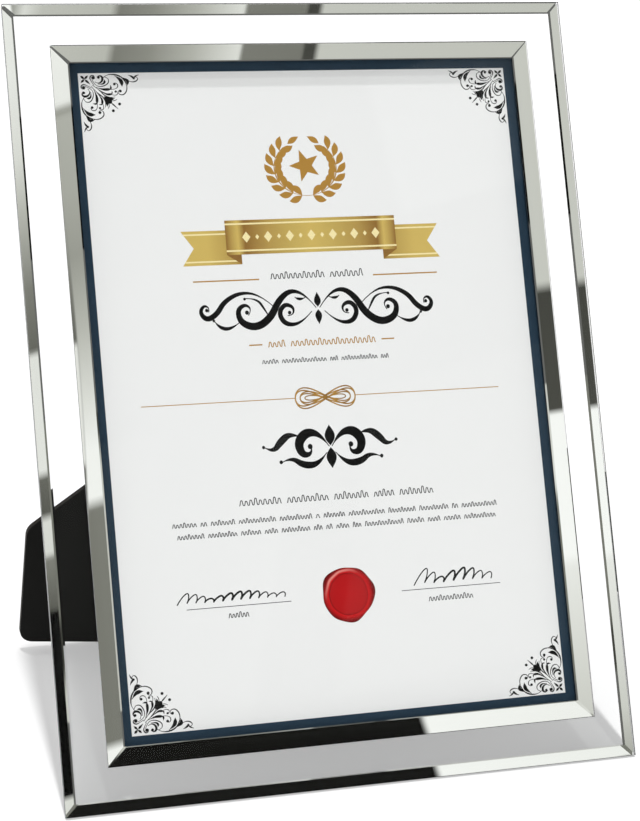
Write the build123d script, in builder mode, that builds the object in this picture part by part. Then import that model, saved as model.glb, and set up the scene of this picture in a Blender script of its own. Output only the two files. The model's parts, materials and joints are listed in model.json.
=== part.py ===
from build123d import *
import os
from math import cos, radians, sin, tan

# A desk-top certificate frame. A small bevelled glass plate is bonded on a larger one, with
# silvered strips behind both bevels and a clear band between them. Three channels bonded on the
# back hold an A4 sheet and its flocked back board, which slide out sideways, and an easel leg
# folds out of the back board on a stamped hinge.
#
# The frame stands as it does in use: the glass leans back, its lower back edge and the foot of
# the leg rest on Z = 0, and the front faces -Y. The origin is the centre of the footprint.

# ---- Driving dimensions: millimetres and degrees ----

# Attitude
lean = 23.0                   # glass, from the vertical
leg_opening = 39.5            # leg, from folded flat to its stop

# Sheet and the window that shows it
sheet_width = 210.0
sheet_height = 297.0
sheet_thickness = 0.2
window_overlap = 2.0          # hides the edge of the sheet on every side

# Inner plate, in front
inner_thickness = 3.0
inner_bevel_width = 8.0
inner_bevel_drop = 1.8

# Outer plate, behind it
clear_band = 13.8             # bare glass between the two bevels
outer_thickness = 4.0
outer_bevel_width = 5.2
outer_bevel_drop = 1.2
arris = 0.3                   # ground off the sharp back edges of both plates

# Silvered strips
silver_thickness = 0.1
bond_line = 0.02              # of clear adhesive, between a strip and the glass

# Channels behind the glass
channel_gauge = 1.0
channel_flange_width = 2.8    # bonded on the glass, outside the wall
channel_lip_width = 5.5       # covers the edge of the back board
slide_clearance = 0.4         # between the board's edge and the channel's wall
face_clearance = 0.1          # between each two faces that slide
joint_gap = 0.2               # between the ends of two channels

# Back board
board_margin = 0.2            # board beyond the sheet, on every side
board_thickness = 2.5
flock_thickness = 0.4

# Leg
leg_thickness = 2.0
leg_half_width = 113.0
leg_side_height = 71.0        # straight side, from the foot up
leg_neck_half_width = 35.0
leg_shoulder_slope = 40.0
foot_flat_half_width = 74.5   # the part of the foot that meets the table
foot_rise_angle = 6.6         # the rest of the foot rises outwards
leg_corner_radius = 7.0
leg_shoulder_radius = 8.0
leg_neck_radius = 18.0
leg_top_radius = 4.0
leg_top_setback = 1.5         # top of the leg, below the hinge pin

# Hinge
hinge_below_lip = 17.1        # bare back board between the top channel and the hinge
hinge_width = 60.0
hinge_gauge = 0.8
knuckle_count = 5
knuckle_gap = 0.3
pin_radius = 1.25
pin_clearance = 0.05
slot_clearance = 0.4          # round the other leaf's knuckles
plate_height = 30.0           # leaf on the back board, above the pin
leaf_height = 34.0            # leaf on the leg, below the pin
leaf_corner_radius = 4.0
stop_gap = 0.05               # left under the stop tongue when the leg is fully open

# Rivets
rivet_radius = 1.5
rivet_head_radius = 2.8
rivet_head_height = 0.8
rivet_tail_radius = 2.4
rivet_tail_height = 0.6
rivet_spacing = 40.0
rivet_inset = 18.0            # from the pin, along each leaf

# ---- Sizes that follow ----

window_width = sheet_width - 2 * window_overlap
window_height = sheet_height - 2 * window_overlap
inner_width = window_width + 2 * inner_bevel_width
inner_height = window_height + 2 * inner_bevel_width
border = clear_band + outer_bevel_width
outer_width = inner_width + 2 * border
outer_height = inner_height + 2 * border

board_width = sheet_width + 2 * board_margin
board_height = sheet_height + 2 * board_margin
channel_half_width = board_width / 2 + slide_clearance
channel_half_height = board_height / 2 + slide_clearance

# Depths, measured along the normal of the glass from the front of the outer plate
glass_back = -outer_thickness
silver_back = glass_back - bond_line - silver_thickness
sheet_front = silver_back - face_clearance
sheet_back = sheet_front - sheet_thickness
board_front = sheet_back - face_clearance
board_back = board_front - board_thickness
flock_back = board_back - flock_thickness
lip_front = flock_back - face_clearance
lip_back = lip_front - channel_gauge

knuckle_radius = pin_radius + pin_clearance + hinge_gauge
pin_depth = flock_back - knuckle_radius
pin_rise = channel_half_height - channel_lip_width - hinge_below_lip - plate_height
knuckle_pitch = hinge_width / knuckle_count

# Depths in the leg, measured along its own normal from the hinge pin
leaf_front = -(knuckle_radius - hinge_gauge)
leaf_back = -knuckle_radius
leg_front_flock_back = leaf_back - flock_thickness
leg_board_back = leg_front_flock_back - leg_thickness
leg_back = leg_board_back - flock_thickness

# ---- Planes ----

leg_angle = leg_opening - lean
up_glass = Vector(0, sin(radians(lean)), cos(radians(lean)))
out_of_glass = Vector(0, -cos(radians(lean)), sin(radians(lean)))
out_of_leg = Vector(0, -cos(radians(leg_angle)), -sin(radians(leg_angle)))


def from_centre(rise, depth):
    """A place on the frame's middle line, measured from the centre of the glass."""
    return up_glass * rise + out_of_glass * depth


# The lower back arris rests on the table, and the footprint is centred on the origin.
resting_arris = from_centre(-outer_height / 2, glass_back + arris)
front_edge = from_centre(-outer_height / 2, -outer_bevel_drop)
pin_from_centre = from_centre(pin_rise, pin_depth)
pin_height = pin_from_centre.Z - resting_arris.Z
foot_reach = pin_height * tan(radians(leg_angle)) - leg_back / cos(radians(leg_angle))
footprint_middle = (front_edge.Y + pin_from_centre.Y + foot_reach) / 2

glass_centre = Vector(0, -footprint_middle, -resting_arris.Z)
pin_centre = glass_centre + pin_from_centre
glass = Plane(origin=glass_centre, x_dir=(1, 0, 0), z_dir=out_of_glass)
leg = Plane(origin=pin_centre, x_dir=(1, 0, 0), z_dir=out_of_leg)
across_hinge = Plane(origin=pin_centre, x_dir=(0, -1, 0), z_dir=(1, 0, 0))
glass_normal = Axis((0, 0, 0), out_of_glass)

os.makedirs("parts", exist_ok=True)


def finish(sub_part, name):
    """Label a finished piece and write it."""
    sub_part.part.label = name
    export_step(sub_part.part, "parts/" + name + ".step")


# ---- Glass plates ----

with BuildPart() as outer_glass:
    with BuildSketch(glass.offset(glass_back)):
        Rectangle(outer_width, outer_height)
    extrude(amount=outer_thickness - outer_bevel_drop)
    with BuildSketch(glass.offset(-outer_bevel_drop)):
        Rectangle(outer_width, outer_height)
    with BuildSketch(glass):
        Rectangle(outer_width - 2 * outer_bevel_width, outer_height - 2 * outer_bevel_width)
    loft()
    chamfer(outer_glass.faces().sort_by(glass_normal)[0].edges(), arris)
finish(outer_glass, "outer_glass")

inner_back = silver_thickness + 2 * bond_line
inner_front = inner_back + inner_thickness

with BuildPart() as inner_glass:
    with BuildSketch(glass.offset(inner_back)):
        Rectangle(inner_width, inner_height)
    extrude(amount=inner_thickness - inner_bevel_drop)
    with BuildSketch(glass.offset(inner_front - inner_bevel_drop)):
        Rectangle(inner_width, inner_height)
    with BuildSketch(glass.offset(inner_front)):
        Rectangle(window_width, window_height)
    loft()
    chamfer(inner_glass.faces().sort_by(glass_normal)[0].edges(), arris)
finish(inner_glass, "inner_glass")


# ---- Silvered strips, mitred at the corners ----


def silver_strips(prefix, width, height, strip_width, back):
    """Four strips that line the edge of a width x height rectangle."""
    x = width / 2
    y = height / 2
    w = strip_width
    outlines = {
        "top": [(-x, y), (x, y), (x - w, y - w), (-x + w, y - w)],
        "bottom": [(-x, -y), (x, -y), (x - w, -y + w), (-x + w, -y + w)],
        "left": [(-x, -y), (-x, y), (-x + w, y - w), (-x + w, -y + w)],
        "right": [(x, -y), (x, y), (x - w, y - w), (x - w, -y + w)],
    }
    for side, corners in outlines.items():
        with BuildPart() as strip:
            with BuildSketch(glass.offset(back)):
                Polygon(*corners, align=None)
            extrude(amount=silver_thickness)
        finish(strip, prefix + "_mirror_" + side)


silver_strips("outer", outer_width - 2 * arris, outer_height - 2 * arris,
              outer_bevel_width - arris, silver_back)
silver_strips("inner", inner_width - 2 * arris, inner_height - 2 * arris,
              inner_bevel_width - arris, bond_line)


# ---- Channels ----

across = Vector(1, 0, 0)


def channel(name, middle, outwards, wall, length):
    """A Z-section channel, bonded on the glass, round one edge of the back board.

    middle is the middle of the channel's length, over the centre line of the glass. The inner
    face of the channel's wall lies outwards from there by the distance wall.
    """
    along = outwards.cross(out_of_glass)
    start = middle + outwards * wall - along * (length / 2)
    section = Plane(origin=start, x_dir=outwards, z_dir=along)
    flange_edge = channel_gauge + channel_flange_width
    flats = (
        (0, flange_edge, glass_back, glass_back - channel_gauge),
        (0, channel_gauge, glass_back, lip_back),
        (-channel_lip_width, channel_gauge, lip_front, lip_back),
    )
    with BuildPart() as piece:
        with BuildSketch(section):
            for inner, outer, front, back in flats:
                with Locations(((inner + outer) / 2, (front + back) / 2)):
                    Rectangle(outer - inner, front - back)
        extrude(amount=length)
    finish(piece, name)


side_length = 2 * (channel_half_height + channel_gauge + channel_flange_width)
rail_start = -channel_half_width + channel_lip_width + joint_gap
rail_end = board_width / 2
rail_middle = glass_centre + across * ((rail_start + rail_end) / 2)
rail_length = rail_end - rail_start

channel("rail_side", glass_centre, across * -1, channel_half_width, side_length)
channel("rail_top", rail_middle, up_glass, channel_half_height, rail_length)
channel("rail_bottom", rail_middle, up_glass * -1, channel_half_height, rail_length)


# ---- Sheet ----

with BuildPart() as certificate_sheet:
    with BuildSketch(glass.offset(sheet_back)):
        Rectangle(sheet_width, sheet_height)
    extrude(amount=sheet_thickness)
finish(certificate_sheet, "certificate_sheet")


# ---- Back board and its flock ----

plate_rivets = [(-rivet_spacing / 2, pin_rise + rivet_inset), (rivet_spacing / 2, pin_rise + rivet_inset)]
leaf_rivets = [(-rivet_spacing / 2, -rivet_inset), (rivet_spacing / 2, -rivet_inset)]

with BuildPart() as back_board:
    with BuildSketch(glass.offset(board_back)):
        Rectangle(board_width, board_height)
        with Locations(*plate_rivets):
            Circle(rivet_radius, mode=Mode.SUBTRACT)
    extrude(amount=board_thickness)
    with BuildSketch(glass.offset(board_front - rivet_tail_height)):
        with Locations(*plate_rivets):
            Circle(rivet_tail_radius)
    extrude(amount=rivet_tail_height, mode=Mode.SUBTRACT)
finish(back_board, "back_board")

with BuildPart() as back_flock:
    with BuildSketch(glass.offset(flock_back)):
        Rectangle(board_width, board_height)
        with Locations(*plate_rivets):
            Circle(rivet_radius, mode=Mode.SUBTRACT)
    extrude(amount=flock_thickness)
finish(back_flock, "back_flock")


# ---- Hinge ----


def knuckle_centres(first):
    """Middles of every second knuckle, from the one numbered first."""
    left = -hinge_width / 2 + knuckle_pitch / 2
    return [left + number * knuckle_pitch for number in range(first, knuckle_count, 2)]


plate_knuckles = knuckle_centres(0)
leaf_knuckles = knuckle_centres(1)
knuckle_length = knuckle_pitch - knuckle_gap
leaf_width = hinge_width - knuckle_gap
slot_width = knuckle_pitch + knuckle_gap
slot_reach = knuckle_radius + slot_clearance

# The fixed leaf lies on the back board and rises from the pin.
plate_back = flock_back - hinge_gauge

with BuildPart() as hinge_plate:
    with BuildSketch(glass.offset(plate_back)):
        with Locations((0, pin_rise + plate_height / 2)):
            RectangleRounded(leaf_width, plate_height, leaf_corner_radius)
        with Locations((0, pin_rise + leaf_corner_radius)):
            Rectangle(leaf_width, 2 * leaf_corner_radius)
        for x in leaf_knuckles:
            with Locations((x, pin_rise)):
                Rectangle(slot_width, 2 * slot_reach, mode=Mode.SUBTRACT)
        with Locations(*plate_rivets):
            Circle(rivet_radius, mode=Mode.SUBTRACT)
    extrude(amount=hinge_gauge)
    for x in plate_knuckles:
        with BuildSketch(across_hinge.offset(x - knuckle_length / 2)):
            Circle(knuckle_radius)
            Circle(pin_radius + pin_clearance, mode=Mode.SUBTRACT)
        extrude(amount=knuckle_length)
finish(hinge_plate, "hinge_plate")

# The moving leaf lies on the front of the leg. Above the pin each of its knuckles carries a
# tongue, which meets the fixed leaf when the leg is fully open and stops it there.
stop_reach = (-leaf_front * (1 + cos(radians(leg_opening))) - stop_gap) / sin(radians(leg_opening))

with BuildPart() as hinge_leaf:
    with BuildSketch(leg.offset(leaf_back)):
        with Locations((0, -leaf_height / 2)):
            RectangleRounded(leaf_width, leaf_height, leaf_corner_radius)
        with Locations((0, -leaf_corner_radius)):
            Rectangle(leaf_width, 2 * leaf_corner_radius)
        for x in plate_knuckles:
            with Locations((x, 0)):
                Rectangle(slot_width, 2 * slot_reach, mode=Mode.SUBTRACT)
        for x in leaf_knuckles:
            with Locations((x, stop_reach / 2)):
                Rectangle(knuckle_length, stop_reach)
        with Locations(*leaf_rivets):
            Circle(rivet_radius, mode=Mode.SUBTRACT)
    extrude(amount=hinge_gauge)
    for x in leaf_knuckles:
        with BuildSketch(across_hinge.offset(x - knuckle_length / 2)):
            Circle(knuckle_radius)
            Circle(pin_radius, mode=Mode.SUBTRACT)
        extrude(amount=knuckle_length)
finish(hinge_leaf, "hinge_leaf")

with BuildPart() as hinge_pin:
    with BuildSketch(across_hinge.offset(-hinge_width / 2)):
        Circle(pin_radius)
    extrude(amount=hinge_width)
    chamfer(hinge_pin.edges().filter_by(GeomType.CIRCLE), arris)
finish(hinge_pin, "hinge_pin")


# ---- Rivets ----


def rivets(name, plane, places, head_seat, tail_seat):
    """Two rivets whose heads stand on head_seat and whose tails end on tail_seat."""
    head_side = 1 if head_seat > tail_seat else -1
    with BuildPart() as pair:
        with BuildSketch(plane.offset(tail_seat)):
            with Locations(*places):
                Circle(rivet_radius)
        extrude(amount=head_seat - tail_seat)
        with BuildSketch(plane.offset(head_seat)):
            with Locations(*places):
                Circle(rivet_head_radius)
        extrude(amount=head_side * rivet_head_height)
        crown = pair.faces().sort_by(Axis((0, 0, 0), plane.z_dir * head_side))[-2:].edges()
        fillet(crown, rivet_head_height / 2)
        with BuildSketch(plane.offset(tail_seat)):
            with Locations(*places):
                Circle(rivet_tail_radius)
        extrude(amount=head_side * rivet_tail_height)
    finish(pair, name)


# The tails of the rivets in the back board are sunk, so that the sheet slides over them.
rivets("hinge_plate_rivets", glass, plate_rivets, plate_back, board_front)
rivets("hinge_leaf_rivets", leg, leaf_rivets, leaf_front, leg_back - rivet_tail_height)


# ---- Leg ----

foot_line = -pin_height / cos(radians(leg_angle))
shoulder = foot_line + leg_side_height
neck = shoulder + (leg_half_width - leg_neck_half_width) * tan(radians(leg_shoulder_slope))
foot_rise = (leg_half_width - foot_flat_half_width) * tan(radians(foot_rise_angle))
foot_trim = foot_flat_half_width / 2    # the outline runs on below the table and is cut off there


def leg_layer(name, back, thickness):
    """One layer of the leg, cut level with the table at its foot."""
    top = -leg_top_setback
    right_side = [
        (foot_flat_half_width - foot_trim, foot_line - foot_trim * tan(radians(foot_rise_angle))),
        (leg_half_width, foot_line + foot_rise),
        (leg_half_width, shoulder),
        (leg_neck_half_width, neck),
        (leg_neck_half_width, top),
    ]
    left_side = [(-x, y) for x, y in reversed(right_side)]
    roundings = (
        (foot_line + foot_rise, leg_corner_radius),
        (shoulder, leg_shoulder_radius),
        (neck, leg_neck_radius),
        (top, leg_top_radius),
    )
    with BuildPart() as layer:
        with BuildSketch(leg.offset(back)) as outline:
            Polygon(*right_side, *left_side, align=None)
            for height, radius in roundings:
                corners = outline.vertices().filter_by_position(Axis.Y, height - arris, height + arris)
                fillet(corners, radius)
            with Locations(*leaf_rivets):
                Circle(rivet_radius, mode=Mode.SUBTRACT)
        extrude(amount=thickness)
        split(bisect_by=Plane.XY, keep=Keep.TOP)
    finish(layer, name)


leg_layer("leg_flock_front", leg_front_flock_back, flock_thickness)
leg_layer("leg_board", leg_board_back, leg_thickness)
leg_layer("leg_flock_back", leg_back, flock_thickness)
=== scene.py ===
"""Certificate frame: glass, mirror, metal and flock finishes, the printed certificate, and a small studio."""

import json
import math

import bmesh
import bpy
from mathutils import Matrix, Vector


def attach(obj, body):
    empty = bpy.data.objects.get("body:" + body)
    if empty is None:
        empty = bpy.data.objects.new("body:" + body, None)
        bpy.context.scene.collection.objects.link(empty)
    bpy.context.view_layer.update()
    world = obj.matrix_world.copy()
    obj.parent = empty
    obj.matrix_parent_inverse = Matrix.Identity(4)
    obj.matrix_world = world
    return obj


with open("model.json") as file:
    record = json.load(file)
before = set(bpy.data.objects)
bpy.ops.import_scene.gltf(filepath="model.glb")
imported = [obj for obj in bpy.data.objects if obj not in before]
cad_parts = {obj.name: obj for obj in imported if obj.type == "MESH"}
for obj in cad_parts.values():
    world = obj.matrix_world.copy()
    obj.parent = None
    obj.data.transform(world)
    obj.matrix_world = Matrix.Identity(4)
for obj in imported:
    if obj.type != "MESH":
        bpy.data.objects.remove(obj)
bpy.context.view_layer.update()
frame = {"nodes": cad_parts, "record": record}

bl_info = {
    "name": "Certificate frame",
    "version": (1, 0, 0),
    "blender": (4, 5, 0),
    "location": "3D View > Sidebar > Certificate frame",
    "description": "Dresses the packed certificate frame: finishes, printed certificate and studio",
    "category": "Object",
}

MM = 0.001

# ---------------------------------------------------------------- the glass as a drawing board
# Places on the certificate are in millimetres: x to the viewer's right, y up the glass, z out of it,
# from the middle of the outer plate's front.


def node_points(name):
    return [vertex.co for vertex in frame["nodes"][name].data.vertices]


def glass_board():
    edge = next(mount for mount in frame["record"]["mounts"] if mount["name"] == "lower_edge")
    across = Vector((1, 0, 0))
    up = -Vector(edge["axis"]).normalized()
    out = across.cross(up)
    places = node_points("outer_glass")
    middle = max(p.dot(out) for p in places) * out
    for along in (across, up):
        ends = [p.dot(along) for p in places]
        middle = middle + (min(ends) + max(ends)) / 2 * along
    turn = Matrix((across, up, out)).transposed()
    return Matrix.Translation(middle) @ turn.to_4x4() @ Matrix.Scale(MM, 4)


BOARD = glass_board()
TURN = BOARD.to_3x3().normalized().to_euler()


def reach(name):
    """A node's lowest and highest corner on the board, in millimetres."""
    back = BOARD.inverted()
    places = [back @ p for p in node_points(name)]
    return [[pick(p[i] for p in places) for i in range(3)] for pick in (min, max)]


SHEET_HIGH = reach("certificate_sheet")[1]
SHEET_FRONT = SHEET_HIGH[2]
WINDOW_HALF_WIDTH = -reach("inner_mirror_left")[1][0]
WINDOW_HALF_HEIGHT = reach("inner_mirror_top")[0][1]
OUTER_SILVER_MIDDLE = sum(end[2] for end in reach("outer_mirror_top")) / 2
INNER_SILVER_MIDDLE = sum(end[2] for end in reach("inner_mirror_top")) / 2

# Printed layers lie on the sheet, each a little nearer to the glass than the one below it.
INK = 0.012
LAYER = 0.02


# ---------------------------------------------------------------- sizes and colours a user may change
def length(name, default, description):
    return bpy.props.FloatProperty(name=name, default=default * MM, unit="LENGTH", description=description)


def colour(name, default, description):
    return bpy.props.FloatVectorProperty(name=name, default=default, size=3, subtype="COLOR", min=0, max=1,
                                         description=description)


def strength(name, default, description, **limits):
    return bpy.props.FloatProperty(name=name, default=default, min=0, description=description, **limits)


class PrintSizes(bpy.types.PropertyGroup):
    border: length("Border width", 3.8, "Width of the printed border that shows inside the window")
    corner: length("Corner scroll", 27.0, "Reach of each corner scroll along the border")
    wreath: length("Wreath radius", 12.6, "Radius of the laurel wreath at the top")
    ribbon: length("Ribbon half width", 39.4, "Half the width of the ribbon's front panel")
    flourish: length("Flourish half width", 54.0, "Half the width of the black flourish")
    seal: length("Seal radius", 12.0, "Mean radius of the wax seal")


class FinishColours(bpy.types.PropertyGroup):
    paper: colour("Paper", (0.88, 0.875, 0.87), "Certificate paper")
    border: colour("Border ink", (0.018, 0.040, 0.066), "Printed border")
    black: colour("Black ink", (0.004, 0.004, 0.004), "Scrolls and flourishes")
    line: colour("Line ink", (0.028, 0.028, 0.032), "Thin rules and rows of small rippled lines")
    gold_light: colour("Light gold", (0.80, 0.53, 0.17), "Lighter end of the gold ink")
    gold_dark: colour("Dark gold", (0.44, 0.23, 0.04), "Darker end of the gold ink")
    ribbon_light: colour("Light ribbon", (0.64, 0.46, 0.12), "Lighter end of the ribbon's gold")
    ribbon_dark: colour("Dark ribbon", (0.28, 0.14, 0.028), "Darker end of the ribbon's gold")
    gold_pale: colour("Pale gold", (0.93, 0.80, 0.42), "Edge lines of the ribbon")
    wax: colour("Seal red", (0.46, 0.005, 0.007), "Printed wax seal")
    flock: colour("Flock", (0.0065, 0.0065, 0.0055), "Black flocked back and leg")
    board: colour("Hardboard", (0.030, 0.026, 0.022), "Dark hardboard edges")
    channel: colour("Channel metal", (0.62, 0.63, 0.64), "Satin aluminium channels")
    hinge: colour("Hinge metal", (0.50, 0.50, 0.50), "Hinge leaves and pin")
    rivet: colour("Rivet metal", (0.56, 0.55, 0.53), "Rivets")
    silver: colour("Silvering", (0.93, 0.94, 0.92), "Silvered strips seen through the glass")
    silver_back: colour("Silvering back", (0.33, 0.34, 0.34), "Coat on the back of the silvering")


class StudioLight(bpy.types.PropertyGroup):
    sky: strength("Soft light", 0.38, "Even light from all round")
    lamp: strength("Overhead light", 1.5, "Light from above, which casts the shadow")
    fill: strength("Front light", 1.05, "Soft light from the camera's side")
    floor: colour("Floor", (0.86, 0.86, 0.86), "Pale floor")
    lift: strength("Floor lift", 0.33, "What the camera sees added to the floor, so that it is white", max=1)


def place_object(name, data):
    made = bpy.data.objects.new(name, data)
    bpy.context.scene.collection.objects.link(made)
    return made


# ---------------------------------------------------------------- node building
def add(tree, kind, values=None, **settings):
    """Adds a shader node; values maps its inputs to a constant or to another node's output."""
    made = tree.nodes.new(kind)
    for key, value in settings.items():
        setattr(made, key, value)
    for key, value in (values or {}).items():
        if isinstance(value, bpy.types.NodeSocket):
            tree.links.new(value, made.inputs[key])
        else:
            made.inputs[key].default_value = value
    return made


def rgba(value):
    return *value[:3], 1.0


def new_material(name):
    material = bpy.data.materials.new(name)
    material.use_nodes = True
    material.node_tree.nodes.clear()
    return material, material.node_tree


def close(tree, shader, volume=None):
    output = add(tree, "ShaderNodeOutputMaterial", {"Surface": shader})
    if volume:
        tree.links.new(volume, output.inputs["Volume"])


def maths(tree, operation, a, b=0.0, clamp=False):
    return add(tree, "ShaderNodeMath", {0: a, 1: b}, operation=operation, use_clamp=clamp).outputs[0]


def plus(tree, a, b, clamp=False):
    return maths(tree, "ADD", a, b, clamp)


def minus(tree, a, b):
    return maths(tree, "SUBTRACT", a, b)


def times(tree, a, b):
    return maths(tree, "MULTIPLY", a, b)


def inverse(tree, value):
    return minus(tree, 1.0, value)


def scaled(tree, vector, level):
    return add(tree, "ShaderNodeVectorMath", {0: vector, "Scale": level}, operation="SCALE").outputs[0]


def apart(tree, vector):
    return add(tree, "ShaderNodeSeparateXYZ", {0: vector}).outputs


def step(tree, value, start, end, way="SMOOTHSTEP"):
    """0 before start and 1 after end."""
    return add(tree, "ShaderNodeMapRange", {"Value": value, "From Min": start, "From Max": end},
               interpolation_type=way).outputs[0]


def between(tree, value, low, high, soft):
    """1 between low and high, with soft ends outside them."""
    ended = inverse(tree, step(tree, value, high, high + soft))
    return times(tree, step(tree, value, low - soft, low), ended)


def noise(tree, place, scale, detail, distortion=0.0):
    return add(tree, "ShaderNodeTexNoise", {"Vector": place, "Scale": scale, "Detail": detail,
                                            "Distortion": distortion}).outputs[0]


def blend_colours(tree, factor, a, b):
    return add(tree, "ShaderNodeMix", {0: factor, 6: a, 7: b}, data_type="RGBA").outputs[2]


def ramp(tree, factor, stops):
    made = add(tree, "ShaderNodeValToRGB", {0: factor})
    band = made.color_ramp
    while len(band.elements) < len(stops):
        band.elements.new(0.5)
    for element, (place, value) in zip(band.elements, stops):
        element.position = place
        element.color = rgba(value)
    return made.outputs["Color"]


def alternating(places, *tones):
    """Stops at the given places that take the tones in turn."""
    return [(place, tones[number % len(tones)]) for number, place in enumerate(places)]


def ray_seen(tree):
    """1 for what the camera sees, in a mirror and through glass too, and 0 for light on a surface."""
    path = add(tree, "ShaderNodeLightPath").outputs
    bounced = plus(tree, path["Is Glossy Ray"], path["Is Transmission Ray"])
    return plus(tree, path["Is Camera Ray"], bounced, clamp=True), path


def on_board(tree, centre=(0.0, 0.0), angle=0.0):
    """The surface's place in millimetres on the board, measured from a point of it."""
    place = BOARD @ Vector((*centre, 0))
    turn = (TURN.to_matrix() @ Matrix.Rotation(angle, 3, "Z")).to_euler()
    coordinates = add(tree, "ShaderNodeTexCoord").outputs["Object"]
    return add(tree, "ShaderNodeMapping", {"Vector": coordinates, "Location": place, "Rotation": turn,
                                           "Scale": (MM, MM, MM)}, vector_type="TEXTURE").outputs[0]


FLOAT, COLOUR, VECTOR = "NodeSocketFloat", "NodeSocketColor", "NodeSocketVector"
MID_GREY = (0.5, 0.5, 0.5, 1)


def group(name, inputs):
    """An empty node group that puts out a colour, a roughness and a normal."""
    made = bpy.data.node_groups.new(name, "ShaderNodeTree")
    for title, kind, value in inputs:
        made.interface.new_socket(name=title, in_out="INPUT", socket_type=kind).default_value = value
    for title, kind in (("Colour", COLOUR), ("Roughness", FLOAT), ("Normal", VECTOR)):
        made.interface.new_socket(name=title, in_out="OUTPUT", socket_type=kind)
    return made, made.nodes.new("NodeGroupInput").outputs, made.nodes.new("NodeGroupOutput").inputs


def finish_group(made, out, level, given, rough, bump):
    """Links a group's colour, at its level, its roughness and its bump to what it puts out."""
    made.links.new(scaled(made, given["Colour"], level), out["Colour"])
    made.links.new(plus(made, given["Roughness"], rough, clamp=True), out["Roughness"])
    made.links.new(add(made, "ShaderNodeBump", bump).outputs[0], out["Normal"])
    return made


# Scale of the patterns in the two groups, in noise cells to a millimetre.
SLOW_MOTTLE = 0.035
SCRATCHES = 6.0
HANDLING_MARKS = 0.22


def fibre_group():
    """Short tangled fibres with slow mottling: paper, board, ink on paper and flock."""
    made, given, out = group("fibres", (
        ("Colour", COLOUR, MID_GREY), ("Fibre length", FLOAT, 0.5), ("Mottle", FLOAT, 0.05),
        ("Roughness", FLOAT, 0.6), ("Height", FLOAT, 0.05)))
    place = on_board(made)
    fine = noise(made, place, maths(made, "DIVIDE", 1.0, given["Fibre length"]), 3.0, 1.4)
    both = plus(made, times(made, fine, 0.6), times(made, noise(made, place, SLOW_MOTTLE, 2.0), 0.4))
    swing = times(made, minus(made, both, 0.5), given["Mottle"])
    return finish_group(made, out, plus(made, swing, 1.0), given, times(made, swing, 0.5), {
        "Strength": 1.0, "Distance": MM, "Height": times(made, fine, given["Height"])})


def brushed_group():
    """Fine parallel scratches with dull handling marks: channels, hinge leaves, pin and rivets."""
    made, given, out = group("brushed", (
        ("Colour", COLOUR, MID_GREY), ("Across", VECTOR, (1.0, 1.0, 1.0)), ("Roughness", FLOAT, 0.3),
        ("Wear", FLOAT, 0.3)))
    place = on_board(made)
    drawn = add(made, "ShaderNodeVectorMath", {0: place, 1: given["Across"]}, operation="MULTIPLY").outputs[0]
    lines = noise(made, drawn, SCRATCHES, 4.0)
    worn = times(made, step(made, noise(made, place, HANDLING_MARKS, 5.0), 0.45, 0.7), given["Wear"])
    level = minus(made, plus(made, 0.93, times(made, lines, 0.14)), times(made, worn, 0.25))
    rough = plus(made, times(made, worn, 0.3), times(made, lines, 0.1))
    return finish_group(made, out, level, given, rough, {
        "Strength": 0.35, "Distance": 0.02 * MM, "Height": lines})


def place_group(tree, name, values):
    maker = {"fibres": fibre_group, "brushed": brushed_group}[name]
    return add(tree, "ShaderNodeGroup", values, node_tree=bpy.data.node_groups.get(name) or maker()).outputs


# ---------------------------------------------------------------- materials
def principled(tree, values):
    return add(tree, "ShaderNodeBsdfPrincipled", values).outputs[0]


def close_textured(tree, texture, values=None):
    """Closes a material that takes its colour, roughness and normal from a group."""
    close(tree, principled(tree, {"Base Color": texture["Colour"], "Roughness": texture["Roughness"],
                                  "Normal": texture["Normal"], **(values or {})}))


WHITE = (1.0, 1.0, 1.0, 1)
GREEN_EDGE = (0.10, 0.24, 0.20, 1)
EDGE_FACING = (0.25, 0.6)       # how far a face's normal points out of the board: a cut edge, and a front
GLASS_REFLECTION = (0.10, 0.10, 0.10, 1)
PASSED_IN_WINDOW = (0.985, 0.985, 0.985, 1)
PASSED_IN_BANDS = (0.34, 0.345, 0.34, 1)
GLASS_TINT, GLASS_DENSITY = (0.6, 0.9, 0.82, 1), 3.0


def clear_glass():
    """Clear plate glass, green in its cut edges. Soft light and shadow light pass straight through it: nearly
    all of it in the window, and less through the bands round it."""
    material, tree = new_material("clear_glass")
    normal = add(tree, "ShaderNodeNewGeometry").outputs["Normal"]
    facing = add(tree, "ShaderNodeVectorMath", {0: normal, 1: BOARD.to_3x3().col[2].normalized()},
                 operation="DOT_PRODUCT").outputs["Value"]
    cut_edge = inverse(tree, step(tree, maths(tree, "ABSOLUTE", facing), *EDGE_FACING))
    x, y, _ = apart(tree, on_board(tree))
    outside = maths(tree, "MAXIMUM", *(step(tree, maths(tree, "ABSOLUTE", place), half, half + 1)
                                       for place, half in ((x, WINDOW_HALF_WIDTH), (y, WINDOW_HALF_HEIGHT))))
    surface = principled(tree, {
        "Base Color": blend_colours(tree, cut_edge, WHITE, GREEN_EDGE), "Roughness": 0.0, "IOR": 1.5,
        "Transmission Weight": 1.0, "Specular Tint": GLASS_REFLECTION})
    passed = blend_colours(tree, outside, PASSED_IN_WINDOW, PASSED_IN_BANDS)
    passing = add(tree, "ShaderNodeBsdfTransparent", {"Color": passed}).outputs[0]
    path = add(tree, "ShaderNodeLightPath").outputs
    for ray in ("Is Shadow Ray", "Is Diffuse Ray"):
        surface = add(tree, "ShaderNodeMixShader", {0: path[ray], 1: surface, 2: passing}).outputs[0]
    tint = add(tree, "ShaderNodeVolumeAbsorption", {"Color": GLASS_TINT, "Density": GLASS_DENSITY})
    close(tree, surface, tint.outputs[0])
    return material


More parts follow.
